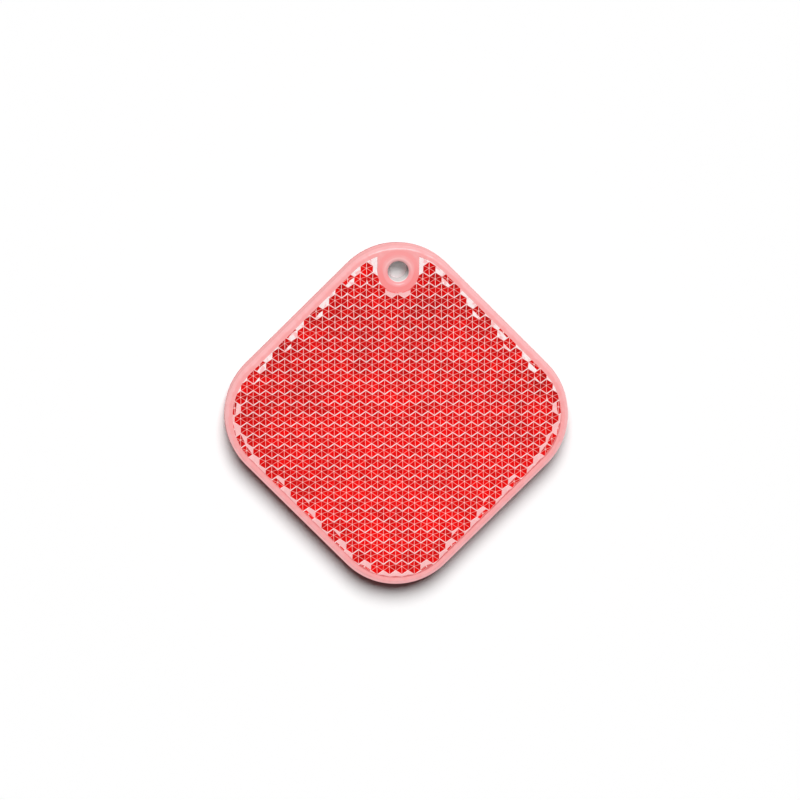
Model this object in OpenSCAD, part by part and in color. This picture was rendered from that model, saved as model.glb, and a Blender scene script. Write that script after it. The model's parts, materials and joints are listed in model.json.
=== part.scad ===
// Square pendant reflector in clear red plastic: two equal mouldings, each a flat window
// with hexagonal corner-cube prisms on its inner side, welded together along the rim.
// It lies on its back face. The cord hole is in the corner towards +Y, and +Z is the front.

/* [Outline] */
// Distance between opposite sides of the square
side_w = 50; // [40:0.5:70]
// Radius of the four corners
corner_r = 12.4; // [9:0.1:18]
// Radius of the rounding along the front and back edges
edge_r = 0.7; // [0.3:0.05:1.2]
// Angle by which the side walls lean in from the weld towards the front and back
draft_a = 4; // [1:0.5:8]

/* [Walls] */
// Thickness of the clear window in front of the prisms
window_t = 0.9; // [0.6:0.05:2.5]
// Width of the welded rim around the prisms
rim_w = 1.35; // [0.8:0.05:3]
// Chamfer of each moulding along the weld, which leaves a fine groove around the edge
seam_c = 0.12; // [0.05:0.01:0.3]

/* [Prisms] */
// Distance between the centres of neighbouring prisms, flat to flat
prism_pitch = 2.19; // [1.6:0.01:3.2]
// Distance from the middle of the square up to the first prism that lies on the axis
row_y = 1.26; // [0:0.02:1.8]
// Air left between the tips of the prisms and the plane of the weld
tip_gap = 0.16; // [0.05:0.01:0.6]

/* [Cord hole] */
// Diameter of the cord hole
hole_d = 3.5; // [2:0.1:4.4]
// Distance from the middle of the cord hole to the tip of its corner
hole_inset = 4.7; // [4:0.05:7]
// Radius of the rounding around the mouths of the cord hole
mouth_r = 0.7; // [0.2:0.05:1]
// Width of the solid boss around the cord hole
boss_w = 7.2; // [6.5:0.1:10]

/* [Hidden] */

$fn = 96;
clear_red = [0.93, 0.13, 0.15];
over = 0.2; // how far cutting shapes run past the faces they cut

// A corner cube seen along its diagonal is a hexagon. Its centre, three of its corners and
// the other three lie on three levels, and the same levels fit every neighbour.
hex_side = prism_pitch / sqrt(3);
column_w = prism_pitch / 2;
level_h = prism_pitch / sqrt(6);
prism_h = 2 * level_h;
half_t = window_t + prism_h + tip_gap;
roof_z = half_t - window_t + over; // the prisms reach up to just below this height

// The square stands on one corner, so its corners point along X and Y
core_w = side_w - 2 * corner_r;
tip_y = core_w / sqrt(2) + corner_r;
hole_y = tip_y - hole_inset;

// The prisms fill the rim
field_r = corner_r - rim_w;
field_reach = core_w / sqrt(2) + field_r;
field_corner = (core_w / 2 + field_r) * sqrt(2);
columns = ceil(field_reach / column_w) + 1;

function odd(i) = abs(i) % 2;
function cycle(n) = ((n % 3) + 3) % 3;

// Half the height that column line i has to span to cover the field. The outermost lines
// lie beyond it and are one step long.
function line_reach(i) = abs(i) == columns ? 0
    : max(0, min(field_corner - abs(i) * column_w, field_reach)) + hex_side;

// First and last lattice step on column line i
function first_step(i) = floor((-line_reach(i) - row_y) / hex_side);
function last_step(i) = ceil((line_reach(i) - row_y) / hex_side);
function steps(i) = last_step(i) - first_step(i) + 1;

// Lattice point j of column line i: 0 is a prism's tip, 1 and 2 are its upper levels
function lattice_point(i, j) = [
    i * column_w,
    row_y + (j + odd(i) / 2) * hex_side,
    tip_gap + cycle(j - odd(i)) * level_h
];
function base_point(i, j) = [lattice_point(i, j).x, lattice_point(i, j).y, roof_z + over];

// Column lines of the lattice, and how many points lie before each one in the list
lines = [-columns:columns];
before = [for (i = -columns, n = 0; i <= columns; n = n + steps(i), i = i + 1) n];
lattice_points = before[2 * columns] + steps(columns);

// Index of point j of line i, held to the ends of the line, and of the line's own ends
function at(i, j) = before[i + columns] + min(max(j, first_step(i)), last_step(i)) - first_step(i);
function fold_low(i) = at(i, first_step(i));
function fold_high(i) = at(i, last_step(i));
function top_low(i) = lattice_points + 2 * (i + columns);
function top_high(i) = top_low(i) + 1;

// The folded triangles between line i and the next, each with one point of every level
function folds(i) = concat(
    [for (j = [first_step(i):last_step(i) - 1]) [at(i, j), at(i + 1, j + odd(i)), at(i, j + 1)]],
    [for (j = [first_step(i + 1):last_step(i + 1) - 1])
        [at(i + 1, j), at(i + 1, j + 1), at(i, j + odd(i + 1))]]
);

// The flat base above those triangles, and the walls at both ends of the column
function skirt(i) = [
    [top_low(i), top_high(i), top_high(i + 1), top_low(i + 1)],
    [top_high(i + 1), top_high(i), fold_high(i), fold_high(i + 1)],
    [top_low(i), top_low(i + 1), fold_low(i + 1), fold_low(i)]
];

module front_half() {
    color(clear_red) translate([0, 0, half_t]) moulding();
}

module rear_half() {
    color(clear_red) translate([0, 0, half_t]) rotate([0, 180, 0]) moulding();
}

// One moulding, with the weld at z = 0 and its outer face at z = half_t
module moulding() {
    difference() {
        round_square(0, half_t) shell_profile();
        air_space();
        cord_hole();
    }
}

// Carries a profile around the rounded square, from height z0 to z1. The profile's x runs
// outwards from the centre of a corner, and its y is the height.
module round_square(z0, z1) {
    rotate(45) {
        for (turn = [0:90:270]) rotate(turn) translate([core_w / 2, core_w / 2, 0]) {
            rotate_extrude(angle = 90) children();
            rotate([90, 0, 0]) linear_extrude(core_w) children();
        }
        translate([-core_w / 2, -core_w / 2, z0]) cube([core_w, core_w, z1 - z0]);
    }
}

// Half of the wall's section: the wall leans in, and an arc joins it to the flat face
module shell_profile() {
    arc_z = half_t - edge_r;
    arc_x = corner_r - (edge_r + arc_z * sin(draft_a)) / cos(draft_a);
    difference() {
        union() {
            polygon([
                [0, 0], [corner_r, 0], [arc_x + edge_r * cos(draft_a), arc_z + edge_r * sin(draft_a)],
                [arc_x, arc_z], [arc_x, half_t], [0, half_t]
            ]);
            translate([arc_x, arc_z]) circle(edge_r);
        }
        translate([corner_r, 0]) rotate(45) square(seam_c * sqrt(2), center = true);
    }
}

// The sealed space behind the window: the field inside the rim, less the boss and the prisms
module air_space() {
    difference() {
        round_square(-over, roof_z) translate([0, -over]) square([field_r, roof_z + over]);
        boss();
        prism_sheet();
    }
}

// A round end below the hole, with straight sides that run up into the rim
module boss() {
    boss_t = roof_z + 3 * over;
    translate([0, hole_y, -2 * over]) {
        rotate_extrude(angle = 180, start = 180) square([boss_w / 2, boss_t]);
        translate([-boss_w / 2, 0, 0]) cube([boss_w, hole_inset, boss_t]);
    }
}

module cord_hole() {
    translate([0, hole_y, 0]) rotate_extrude() {
        translate([0, -over]) square([hole_d / 2, half_t + 2 * over]);
        translate([hole_d / 2, half_t - mouth_r]) difference() {
            square([mouth_r, mouth_r + over]);
            translate([mouth_r, 0]) circle(mouth_r);
        }
    }
}

// All the prisms as one folded sheet under a flat base, a little wider than the field
module prism_sheet() {
    polyhedron(
        points = concat(
            [for (i = lines, j = [first_step(i):last_step(i)]) lattice_point(i, j)],
            [for (i = lines, j = [first_step(i), last_step(i)]) base_point(i, j)]
        ),
        faces = concat(
            [for (i = [-columns:columns - 1]) each concat(folds(i), skirt(i))],
            [[top_high(-columns), top_low(-columns), fold_low(-columns), fold_high(-columns)]],
            [[top_low(columns), top_high(columns), fold_high(columns), fold_low(columns)]]
        )
    );
}

front_half();
rear_half();
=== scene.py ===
# Square pendant reflector in clear red plastic, lying on its back face under a soft light.
import bpy
import math
from mathutils import Matrix, Vector
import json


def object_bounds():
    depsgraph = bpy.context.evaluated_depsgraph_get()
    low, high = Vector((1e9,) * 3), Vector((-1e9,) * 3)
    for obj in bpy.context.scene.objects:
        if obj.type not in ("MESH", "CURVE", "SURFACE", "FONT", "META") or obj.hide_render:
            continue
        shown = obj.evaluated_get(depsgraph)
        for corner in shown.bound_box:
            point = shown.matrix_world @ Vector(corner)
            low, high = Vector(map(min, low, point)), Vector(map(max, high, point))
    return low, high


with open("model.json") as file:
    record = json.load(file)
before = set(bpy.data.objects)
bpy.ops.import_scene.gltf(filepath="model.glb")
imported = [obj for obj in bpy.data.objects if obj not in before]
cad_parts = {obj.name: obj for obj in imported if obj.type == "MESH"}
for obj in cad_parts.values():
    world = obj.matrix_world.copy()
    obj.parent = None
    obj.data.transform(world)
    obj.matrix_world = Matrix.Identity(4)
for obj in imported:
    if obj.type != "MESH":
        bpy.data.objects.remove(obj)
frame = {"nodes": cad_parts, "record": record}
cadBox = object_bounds()
mm = 0.001
print("frame loaded")

# The moulding's own sizes, in millimetres
reflector = {
    "sideWidth": 50.0,
    "cornerRadius": 12.4,
    "rimWidth": 1.35,
    "prismPitch": 2.19,          # between the middles of neighbouring prisms
    "firstRow": 1.26,            # height of the first prism that lies on the axis
    "prismReach": 2.05,          # from the weld up to just above the prisms
    "bossWidth": 7.2,
}
holeY = frame["record"]["mounts"][0]["pos_m"][1] / mm
weldZ = (cadBox[0][2] + cadBox[1][2]) / 2 / mm
cos60, cos30 = 0.5, math.sqrt(0.75)


class Value:                      # a number that changes over a surface
    def __init__(self, paint, socket):
        self.paint = paint
        self.socket = socket

    def __add__(self, other):
        return self.paint.maths("ADD", self, other)

    def __sub__(self, other):
        return self.paint.maths("SUBTRACT", self, other)

    def __rsub__(self, other):
        return self.paint.maths("SUBTRACT", other, self)

    def __mul__(self, other):
        return self.paint.maths("MULTIPLY", self, other)

    def __truediv__(self, other):
        return self.paint.maths("DIVIDE", self, other)

    def __lt__(self, other):
        return self.paint.maths("LESS_THAN", self, other)

    def __gt__(self, other):
        return self.paint.maths("GREATER_THAN", self, other)

    def __abs__(self):
        return self.paint.maths("ABSOLUTE", self)

    __radd__ = __add__
    __rmul__ = __mul__


class Paint:                      # the nodes of one material or of the world
    def __init__(self, data):
        data.use_nodes = True
        self.tree = data.node_tree
        self.tree.nodes.clear()

    def node(self, kind, settings, sockets, output=0):
        made = self.tree.nodes.new("ShaderNode" + kind)
        for name, setting in settings.items():
            setattr(made, name, setting)
        for key, value in sockets.items():
            if isinstance(value, Value):
                self.tree.links.new(value.socket, made.inputs[key])
            else:
                made.inputs[key].default_value = value
        return Value(self, made.outputs[output]) if made.outputs else None

    def maths(self, operation, *numbers):
        return self.node("Math", {"operation": operation}, dict(enumerate(numbers)))

    def smaller(self, a, b):
        return self.maths("MINIMUM", a, b)

    def larger(self, a, b):
        return self.maths("MAXIMUM", a, b)

    def length(self, a, b):
        return self.maths("SQRT", a * a + b * b)

    def ramp(self, value, start, end):    # smooth from 0 at the start to 1 at the end
        limits = {"Value": value, "From Min": start, "From Max": end}
        return self.node("MapRange", {"interpolation_type": "SMOOTHSTEP"}, limits)

    def line(self, distance, width):      # 1 on a line of that full width, with soft sides
        return 1 - self.ramp(distance, width * 0.25, width * 0.75)

    def blend(self, low, high, mask):
        return self.node("Mix", {"data_type": "RGBA"}, {0: mask, 6: low, 7: high}, 2)

    def dimmed(self, colour, share):
        return self.node("VectorMath", {"operation": "SCALE"}, {0: colour, "Scale": share})

    def vector(self, *parts):
        return self.node("CombineXYZ", {}, dict(enumerate(parts)))

    def noise(self, x, y, scale):
        sockets = {"Vector": self.vector(x, y), "Scale": scale, "Detail": 2.0}
        return self.node("TexNoise", {"noise_dimensions": "2D"}, sockets)

    def place(self):                      # where a point of the piece is, in millimetres
        point = self.node("TexCoord", {}, {}, "Object")
        return [self.node("SeparateXYZ", {}, {0: point}, axis) / mm for axis in "XYZ"]


def rimDepth(paint, x, y):        # how far a point lies inside the outline
    core = reflector["sideWidth"] / 2 - reflector["cornerRadius"]
    across = abs((x + y) * math.sqrt(0.5)) - core
    along = abs((y - x) * math.sqrt(0.5)) - core
    corner = paint.length(paint.larger(across, 0), paint.larger(along, 0))
    return reflector["cornerRadius"] - corner - paint.smaller(paint.larger(across, along), 0)


def fieldDepth(paint, x, y):      # how far a point lies inside the field of prisms
    fromBoss = paint.length(x, paint.smaller(y - holeY, 0)) - reflector["bossWidth"] / 2
    return paint.smaller(rimDepth(paint, x, y) - reflector["rimWidth"], fromBoss)


def nearestPrism(paint, x, y):    # offset from the middle of the nearest prism
    pitch = reflector["prismPitch"]
    rowPitch = pitch * cos30
    offsets = []
    for step in (0, 1):                   # every second row is half a prism aside
        aside, up = step * pitch / 2, reflector["firstRow"]
        across = paint.maths("WRAP", x - aside, pitch / 2, -pitch / 2)
        along = paint.maths("WRAP", y - up - step * rowPitch, rowPitch, -rowPitch)
        offsets.append((across, along))
    (ax, ay), (bx, by) = offsets
    second = (bx * bx + by * by) < (ax * ax + ay * ay)
    return ax + (bx - ax) * second, ay + (by - ay) * second


# Colours, shares, and lengths in millimetres. A pair is where a change starts and ends.
clearRed = {
    "window": (1.0, 0.93, 0.93, 1),           # in front of the prisms

    # The facets of the prisms. Their tone, from dark to bright, is a sum of these shares: painted
    # reflection of the light the prisms send back, darker in some sectors, in patches and towards
    # each prism's top, and a painted pool of light.
    "brightFacet": (1.0, 0.0, 0.0, 1),
    "darkFacet": (0.50, 0.0, 0.0, 1),
    "ownTone": 0.5,               # painted reflection, a tone for each sector of each prism
    "patchTone": 0.25,            # broad soft patches of painted reflection
    "patchScale": 0.14,           # of their noise, in patches per millimetre
    "patchNoise": (0.35, 0.65),
    "poolTone": 0.3,              # a pool of light below the middle
    "poolMiddle": (2, -11),
    "poolReach": (8, 34),
    "slopeTone": 0.12,            # painted reflection, less for each millimetre up from the middle of a prism
    "facetBody": 0.90,            # share of a facet's own red, beside what it mirrors

    # The lines: seams between the rows, edges between the prisms of a row, and spokes
    "seamRising": (1.0, 0.96, 0.96, 1),
    "seamFalling": (1.0, 0.74, 0.74, 1),
    "seamWidth": 0.16,
    "edgeShadedLeft": (0.95, 0.22, 0.21, 1),
    "edgeLitRight": (0.98, 0.70, 0.68, 1),
    "edgeChange": (-22, 22),      # painted light, brighter from left to right
    "edgeWidth": 0.07,
    "edgeShare": 0.8,             # how strongly they cover the facets
    "uprightShadedLow": (0.99, 0.48, 0.46, 1),
    "uprightLitHigh": (1.0, 0.78, 0.76, 1),
    "uprightChange": (0, 18),     # painted light, paler towards the hole
    # the spokes run along the three edges of each prism and on past its middle as their mirrored
    # images, which are a painted reflection
    "spoke": (0.98, 0.52, 0.49, 1),
    "spokeWidth": 0.08,
    "slantedShare": 0.75,         # strength of the slanted spokes, beside the upright one
    "tip": (1.0, 0.82, 0.80, 1),  # where the spokes meet
    "tipWidth": 0.2,

    # The gaps along the border of the field, whose facets don't send light back; their pale colour
    # is painted light coming through them, paler towards the top
    "gapShadedLow": (0.99, 0.60, 0.60, 1),
    "gapLitHigh": (1.0, 0.95, 0.95, 1),
    "gapRise": (0.0, 6.0),        # up from the middle of the square
    "gapAside": (2.6, 3.4),       # out from the boss's axis
    "gapNoise": (0.36, 0.48),
    "gapEdge": (0.0, 0.05),       # into the field
    "airWall": 0.02,              # out of the field, where the air space ends
    "bossLine": (0.96, 0.10, 0.10, 1),
    "bossLineOffset": 0.3,        # out from the boss
    "bossLineWidth": 0.2,
    "bossLineShare": 0.7,
    "bossLineDrop": (2.2, 2.8),   # down from the middle of the hole
    "bossLineNoise": (0.3, 0.5),

    # The solid rim and its walls
    "rimInner": (0.96, 0.39, 0.39, 1),
    "rimOuterLit": (0.97, 0.48, 0.49, 1),
    "rimBand": (0.45, 0.95),      # in from the outline, a painted highlight along the rounded edge
    "rimMottle": 0.7,             # how much its noise changes its tone
    "rimNoise": (0.3, 0.7),
    "mottleScale": 0.8,           # of the noise in the rim, the gaps and the boss line
    # the wall where the sun falls on it; wallShaded is the same wall in painted shade
    "wall": (0.97, 0.39, 0.39, 1),
    "wallShaded": (0.64, 0.07, 0.08, 1),
    "wallBand": (0.35, 0.6),      # in from the outline
    "wallTop": (4.6, 5.3),        # up from the table
    "sunBand": (-10, 2),          # towards the hole
    "sunFoot": 0.3,               # share of the sun's light at the wall's foot
    "sunRise": (0.2, 3.4),        # up from the table
    "milkyEdge": (0.01, 0.04),    # into the field, where the clear window starts
    "weldReach": 0.01,            # what lies this close to the weld is on it

    # The boss and the cord hole
    "bossRing": (0.97, 0.29, 0.29, 1),
    "bossTop": (0.97, 0.35, 0.35, 1),
    # painted highlight on the rounding of the hole's mouth, paler on its upper side
    "mouthLow": (0.97, 0.36, 0.37, 1),
    "mouthHigh": (1.0, 0.52, 0.52, 1),
    # painted shade in the upper bore, and painted light on its lit lower wall
    "holeShadedWall": (0.32, 0.34, 0.34, 1),
    "holeLit": (1.0, 0.95, 0.94, 1),
    "holeEdge": (1.78, 1.9),      # these five out from the middle of the hole
    "mouthEdge": (2.4, 2.7),
    "ringInner": (2.45, 2.75),
    "ringOuter": (3.2, 3.6),
    "bossEdge": (3.8, 4.2),
    "ringShift": 0.4,             # how much further out the ring lies above the hole
    "bossRise": (-1, 2),          # up from the middle of the hole
    "holeShade": (-1.4, 0.4),     # also up from the middle of the hole, where the painted shade in the bore takes over

    # Share of the colour that each part emits
    "prismGlow": 0.82,            # light that the prisms send back from every side
    "rimGlow": 0.25,              # light that the clear rim carries to its edges
    "shadedGlow": 0.12,           # on the wall that faces away from the sun
    "sunnyGlow": 0.50,            # on the wall that faces it
    "roundingGlow": 0.75,         # on the rounding above the walls
    "holeGlow": 0.22,             # in the lit lower part of the hole
    "roundingBand": (4.5, 5.2),   # up from the table
    "glowBand": (0.4, 0.8),       # in from the outline
}


def facetRed(paint, x, y, dx, dy):        # painted reflection: a tone for each of the six sectors of each prism, with patches, a painted pool of light, and less towards each prism's top
    look = clearRed
    pitch = reflector["prismPitch"]
    turn = paint.maths("ARCTAN2", dy, dx) / math.radians(60) + 0.5
    sector = paint.maths("FLOORED_MODULO", paint.maths("FLOOR", turn), 6)
    column = paint.maths("ROUND", (x - dx) / (pitch / 2))
    row = paint.maths("ROUND", (y - dy - reflector["firstRow"]) / (pitch * cos30))
    cell = paint.vector(column, row, sector)
    own = paint.node("TexWhiteNoise", {"noise_dimensions": "3D"}, {0: cell})
    patch = paint.ramp(paint.noise(x, y, look["patchScale"]), *look["patchNoise"])
    middleX, middleY = look["poolMiddle"]
    pool = 1 - paint.ramp(paint.length(x - middleX, y - middleY), *look["poolReach"])
    tone = own * look["ownTone"] + patch * look["patchTone"] + pool * look["poolTone"]
    tone = tone - dy * look["slopeTone"]
    return paint.blend(look["darkFacet"], look["brightFacet"], paint.larger(tone, 0))


def prismLines(paint, x, y, dx, dy):      # colour of the lines, and how strongly they cover
    look = clearRed
    reach = reflector["prismPitch"] / 2
    rising, falling = abs(dx * cos60 - dy * cos30), abs(dx * cos60 + dy * cos30)
    seam = paint.line(reach - paint.larger(rising, falling), look["seamWidth"])
    edge = paint.line(reach - abs(dx), look["edgeWidth"]) * (1 - seam)
    # each spoke is a real edge on one side of the middle and its painted reflection on the other
    upright = paint.line(abs(dx), look["spokeWidth"])
    slanted = paint.line(paint.smaller(rising, falling), look["spokeWidth"]) * look["slantedShare"]
    tip = paint.line(paint.length(dx, dy), look["tipWidth"])

    # painted light: the upright spokes are paler towards the hole
    towardsHole = paint.ramp(y, *look["uprightChange"])
    uprightColour = paint.blend(look["uprightShadedLow"], look["uprightLitHigh"], towardsHole)
    # painted light: the edges between the prisms of a row are brighter towards the right
    towardsRight = paint.ramp(x, *look["edgeChange"])
    edgeColour = paint.blend(look["edgeShadedLeft"], look["edgeLitRight"], towardsRight)
    seamColour = paint.blend(look["seamFalling"], look["seamRising"], dx * dy < 0)
    colour = paint.blend(look["spoke"], uprightColour, upright)
    colour = paint.blend(colour, look["tip"], tip)
    colour = paint.blend(paint.blend(colour, edgeColour, edge), seamColour, seam)
    cover = paint.larger(paint.larger(upright, slanted), tip)
    return colour, paint.larger(cover, paint.larger(seam, edge * look["edgeShare"]))


def gapColour(paint, x, y, mottle):       # painted light: paler above the middle, on the lamp's side, and beside the boss
    look = clearRed
    upper = paint.ramp(y, *look["gapRise"]) * paint.ramp(abs(x), *look["gapAside"])
    pale = upper * paint.ramp(mottle, *look["gapNoise"])
    return paint.blend(look["gapShadedLow"], look["gapLitHigh"], pale)


def bossLine(paint, x, y, mottle):        # soft red marks in the field, just below the boss
    look = clearRed
    fromBoss = paint.length(x, y - holeY) - reflector["bossWidth"] / 2
    mark = paint.line(fromBoss - look["bossLineOffset"], look["bossLineWidth"])
    mark = mark * paint.ramp(holeY - y, *look["bossLineDrop"])
    return mark * paint.ramp(mottle, *look["bossLineNoise"]) * look["bossLineShare"]


def solidPlastic(paint, x, y, z, mottle):     # colour and glow of the rim, boss, walls and hole, with painted light and shade in the colour
    look = clearRed
    inside = rimDepth(paint, x, y)
    # painted highlight: the rim is lighter in a band along the outline
    light = 1 - paint.ramp(inside, *look["rimBand"])
    light = light + (paint.ramp(mottle, *look["rimNoise"]) - 0.5) * look["rimMottle"]
    rim = paint.blend(look["rimInner"], look["rimOuterLit"], paint.larger(light, 0))
    # painted sunlight and shade on the walls: lit on the lamp's side and towards the top, shaded
    # below and away from it
    sunRise = look["sunFoot"] + paint.ramp(z, *look["sunRise"]) * (1 - look["sunFoot"])
    sunny = paint.ramp(y, *look["sunBand"]) * sunRise
    wall = paint.blend(look["wallShaded"], look["wall"], sunny)
    onWall = (1 - paint.ramp(inside, *look["wallBand"])) * (1 - paint.ramp(z, *look["wallTop"]))
    rim = paint.blend(rim, wall, onWall)

    fromHole = paint.length(x, y - holeY)
    above = paint.ramp(y - holeY, *look["bossRise"])
    ringPlace = fromHole - above * look["ringShift"]
    ringEnd = paint.ramp(ringPlace, *look["ringOuter"]) * above
    ring = paint.ramp(ringPlace, *look["ringInner"]) * (1 - ringEnd)
    boss = paint.blend(rim, paint.blend(look["bossRing"], look["bossTop"], above), ring)
    # painted highlight on the rounding of the mouth, paler above
    mouth = paint.blend(look["mouthLow"], look["mouthHigh"], above)
    boss = paint.blend(mouth, boss, paint.ramp(fromHole, *look["mouthEdge"]))
    # painted light and shade in the bore: lit and pale below, dark grey in shade above
    holeShade = paint.ramp(y - holeY, *look["holeShade"])
    hole = paint.blend(look["holeLit"], look["holeShadedWall"], holeShade)
    pastHole = paint.ramp(fromHole, *look["holeEdge"])
    boss = paint.blend(hole, boss, pastHole)
    colour = paint.blend(rim, boss, 1 - paint.ramp(fromHole, *look["bossEdge"]))

    wallGlow = look["shadedGlow"] + sunny * (look["sunnyGlow"] - look["shadedGlow"])
    wallGlow = wallGlow + paint.ramp(z, *look["roundingBand"]) * (look["roundingGlow"] - wallGlow)
    atWall = 1 - paint.ramp(inside, *look["glowBand"])
    glow = look["rimGlow"] + atWall * (wallGlow - look["rimGlow"])
    return colour, glow + (1 - pastHole) * ((1 - holeShade) * look["holeGlow"] - glow)


def clearRedMaterial():
    look = clearRed
    data = bpy.data.materials.new("clearRed")
    paint = Paint(data)
    x, y, z = paint.place()
    dx, dy = nearestPrism(paint, x, y)
    mottle = paint.noise(x, y, look["mottleScale"])

    depth = fieldDepth(paint, x, y)
    opposite = fieldDepth(paint, x - 2 * dx, y - 2 * dy)      # where a facet sends its light
    returned = paint.ramp(paint.smaller(depth, opposite), *look["gapEdge"])
    fromWeld = abs(z - weldZ)
    onPrism = (depth > -look["airWall"]) * (fromWeld < reflector["prismReach"])
    onWeld = (fromWeld < look["weldReach"]) * (depth < look["weldReach"])

    red = facetRed(paint, x, y, dx, dy)
    lineColour, onLine = prismLines(paint, x, y, dx, dy)
    prism = paint.blend(red, lineColour, onLine)
    pattern = paint.blend(gapColour(paint, x, y, mottle), prism, returned)
    pattern = paint.blend(pattern, look["bossLine"], bossLine(paint, x, y, mottle))
    mirrored = onPrism * returned * (1 - onLine)

    solid, solidGlow = solidPlastic(paint, x, y, z, mottle)
    colour = paint.blend(solid, pattern, onPrism)
    glow = solidGlow + onPrism * (look["prismGlow"] - solidGlow)
    frosted = paint.node("BsdfPrincipled", {}, {
        "Base Color": paint.dimmed(colour, 1 - glow), "Roughness": 0.2, "Specular IOR Level": 0.22,
        "Emission Color": paint.dimmed(colour, glow), "Emission Strength": 1.0})
    glass = paint.node("BsdfPrincipled", {}, {
        "Base Color": paint.blend(look["window"], red, mirrored), "Metallic": mirrored,
        "Roughness": 0.03, "IOR": 1.49, "Transmission Weight": 1.0, "Specular IOR Level": 0.06})
    ownRed = onPrism * (1 - mirrored * (1 - look["facetBody"]))
    milky = 1 - paint.ramp(depth, *look["milkyEdge"])
    surface = paint.node("MixShader", {}, {0: paint.larger(ownRed, milky), 1: glass, 2: frosted})
    through = paint.node("BsdfTransparent", {}, {})           # nothing shows where they are welded
    welded = paint.node("MixShader", {}, {0: onWeld, 1: surface, 2: through})
    paint.node("OutputMaterial", {}, {0: welded})
    return data


def makeCamera():
    view = {
        "tilt": math.radians(9.87), "pan": math.radians(-3.8), "roll": math.radians(0.44),
        "distance": 1.0, "pixelsPerMetre": 5680.0, "middle": (395.15, 410.58), "image": 800,
    }
    tilt, pan, roll = view["tilt"], view["pan"], view["roll"]
    back = Vector((math.sin(pan), math.sin(tilt) * math.cos(pan), math.cos(tilt) * math.cos(pan)))
    back.normalize()
    right = Vector((0, 1, 0)).cross(back).normalized()
    place = Matrix((right, back.cross(right), back)).transposed().to_4x4()
    place = place @ Matrix.Rotation(roll, 4, "Z")
    place.translation = back * view["distance"]
    camera = bpy.data.objects.new("camera", bpy.data.cameras.new("camera"))
    lens = camera.data
    lens.sensor_width = 36
    lens.lens = view["pixelsPerMetre"] * view["distance"] * lens.sensor_width / view["image"]
    lens.shift_x = 0.5 - view["middle"][0] / view["image"]
    lens.shift_y = view["middle"][1] / view["image"] - 0.5
    lens.clip_start = 0.01
    camera.matrix_world = place
    bpy.context.scene.collection.objects.link(camera)
    bpy.context.scene.camera = camera


def makeFloor():
    look = {
        "size": 4.0,                          # in metres
        "drop": 0.05,                         # in millimetres, below the piece
        "seen": (1, 1, 1, 1),                 # its colour for the camera
        "bounced": (0.45, 0.45, 0.45, 1),     # and for all other light
    }
    bpy.ops.mesh.primitive_plane_add(size=look["size"], location=(0, 0, -look["drop"] * mm))
    floor = bpy.context.object
    floor.name = "floor"
    data = bpy.data.materials.new("floor")
    paint = Paint(data)
    seen = paint.node("LightPath", {}, {}, "Is Camera Ray")
    colour = paint.blend(look["bounced"], look["seen"], seen)
    surface = paint.node("BsdfDiffuse", {}, {"Color": colour})
    paint.node("OutputMaterial", {}, {0: surface})
    floor.data.materials.append(data)


def makeLight():
    light = {
        "world": 0.03,                        # strength of the studio for light that bounces
        "gloss": 0.1,                         # how much of the rest is added for mirrored light
        "sun": 3.59, "elevation": 58, "azimuth": 89, "softness": 32,
    }
    world = bpy.data.worlds.new("studio")
    bpy.context.scene.world = world
    paint = Paint(world)
    seen = paint.node("LightPath", {}, {}, "Is Camera Ray")
    for ray, share in (("Is Glossy Ray", light["gloss"]), ("Is Transmission Ray", 1)):
        seen = paint.larger(seen, paint.node("LightPath", {}, {}, ray) * share)
    strength = light["world"] + seen * (1 - light["world"])
    sky = paint.node("Background", {}, {"Color": (1, 1, 1, 1), "Strength": strength})
    paint.node("OutputWorld", {}, {0: sky})
    lamp = bpy.data.lights.new("key", "SUN")
    lamp.energy = light["sun"]
    lamp.angle = math.radians(light["softness"])
    key = bpy.data.objects.new("key", lamp)
    up, turn = math.radians(light["elevation"]), math.radians(light["azimuth"])
    towards = Vector((math.cos(up) * math.cos(turn), math.cos(up) * math.sin(turn), math.sin(up)))
    key.rotation_euler = towards.to_track_quat("Z", "Y").to_euler()
    key.location = towards
    key.visible_transmission = False      # what lies under the window is lit by the pale studio
    bpy.context.scene.collection.objects.link(key)


makeCamera()
makeFloor()
makeLight()
print("camera, floor and light made")

material = clearRedMaterial()
for moulding in frame["nodes"].values():
    moulding.data.materials.clear()
    moulding.data.materials.append(material)
print("mouldings finished")

bpy.context.scene.view_settings.view_transform = "Standard"
